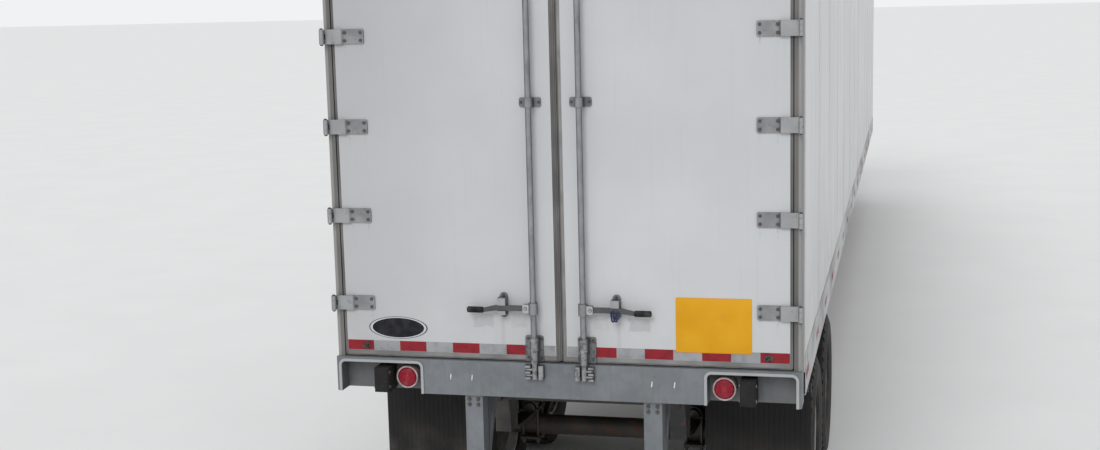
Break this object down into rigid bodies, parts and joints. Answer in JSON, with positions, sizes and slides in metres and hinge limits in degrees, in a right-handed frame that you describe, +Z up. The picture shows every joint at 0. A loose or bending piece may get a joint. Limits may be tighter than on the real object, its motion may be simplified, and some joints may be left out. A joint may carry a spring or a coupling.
{
  "type": "semi trailer",
  "caption": "Dry van semi trailer with hinged rear doors, turning lock rods, twin-tyred tandem axles, landing legs and a kingpin coupler under its front.",
  "frame": {"origin": "on the ground under the middle of the trailer", "axes": "+X to the kerb side, +Y to the front, +Z up; the rear doors face -Y"},
  "size_m": [2.6, 16.305, 4.1098],
  "materials": {
    "white_panel": "white panel paint, weathered, with faint streaks",
    "galvanised_steel": "dull zinc coating with grime",
    "zinc_hardware": "zinc plate, worn at the edges",
    "aluminium_rail": "mill finish, oxidised",
    "roof_sheet": "bare sheet, oxidised",
    "frame_paint": "black chassis paint with road dust",
    "wheel_paint": "white wheel paint with brake dust",
    "coupler_steel": "greased steel, worn bright in places",
    "black_rubber": "moulded black rubber, dusty",
    "tyre_rubber": "road tyre rubber",
    "red_lens": "moulded red lens",
    "marker_lens": "moulded lens",
    "floor_wood": "laminated hardwood planks, worn"
  },
  "bodies": {
    "root": {"floor": "floor_wood", "crossmembers": "frame_paint", "side_walls": "white_panel", "side_rails": "aluminium_rail", "roof": "roof_sheet", "front_wall": "white_panel", "rear_posts": "galvanised_steel", "rear_header": "galvanised_steel", "rear_sill": "galvanised_steel", "hinge_butts": "zinc_hardware", "lock_keepers": "zinc_hardware", "tail_lamps": "red_lens", "marker_lamps": "marker_lens", "dock_bumpers": "black_rubber", "underride_guard": "galvanised_steel", "slide_rails": "frame_paint", "slider_frame": "frame_paint", "mud_flaps": "black_rubber", "leaf_springs": "frame_paint", "axles": "frame_paint", "brake_chambers": "frame_paint", "air_tank": "frame_paint", "coupler_plate": "coupler_steel", "kingpin": "coupler_steel", "landing_legs": "frame_paint", "landing_braces": "frame_paint", "nose_box": "aluminium_rail"},
    "left_door": {"door_left": "white_panel", "door_seal_left": "black_rubber", "hinge_straps_left": "zinc_hardware", "rod_guides_left": "zinc_hardware"},
    "left_rod": {"lock_rod_left": "zinc_hardware", "handle_grip_left": "black_rubber"},
    "right_door": {"door_right": "white_panel", "door_seal_right": "black_rubber", "hinge_straps_right": "zinc_hardware", "rod_guides_right": "zinc_hardware"},
    "right_rod": {"lock_rod_right": "zinc_hardware", "handle_grip_right": "black_rubber"},
    "rear_left_wheel": {"tyres_rear_left": "tyre_rubber", "wheel_rear_left": "wheel_paint"},
    "rear_right_wheel": {"tyres_rear_right": "tyre_rubber", "wheel_rear_right": "wheel_paint"},
    "front_left_wheel": {"tyres_front_left": "tyre_rubber", "wheel_front_left": "wheel_paint"},
    "front_right_wheel": {"tyres_front_right": "tyre_rubber", "wheel_front_right": "wheel_paint"}
  },
  "joints": [
    {"name": "left_door_hinge", "type": "hinge", "parent": "root", "child": "left_door", "pos_m": [-1.286, -8.092, 2.5], "axis": [0, 0, -1], "range_deg": [0, 265]},
    {"name": "left_rod_turn", "type": "hinge", "parent": "left_door", "child": "left_rod", "pos_m": [-0.137, -8.102, 1.578], "axis": [0, 0, -1], "range_deg": [-100, 0]},
    {"name": "right_door_hinge", "type": "hinge", "parent": "root", "child": "right_door", "pos_m": [1.286, -8.092, 2.5], "axis": [0, 0, 1], "range_deg": [0, 265]},
    {"name": "right_rod_turn", "type": "hinge", "parent": "right_door", "child": "right_rod", "pos_m": [0.137, -8.102, 1.578], "axis": [0, 0, 1], "range_deg": [-100, 0]},
    {"name": "rear_left_spin", "type": "hinge", "parent": "root", "child": "rear_left_wheel", "pos_m": [-0.984, -6.677, 0.508], "axis": [1, 0, 0], "continuous": true},
    {"name": "rear_right_spin", "type": "hinge", "parent": "root", "child": "rear_right_wheel", "pos_m": [0.984, -6.677, 0.508], "axis": [1, 0, 0], "continuous": true},
    {"name": "front_left_spin", "type": "hinge", "parent": "root", "child": "front_left_wheel", "pos_m": [-0.984, -5.432, 0.508], "axis": [1, 0, 0], "continuous": true},
    {"name": "front_right_spin", "type": "hinge", "parent": "root", "child": "front_right_wheel", "pos_m": [0.984, -5.432, 0.508], "axis": [1, 0, 0], "continuous": true}
  ]
}
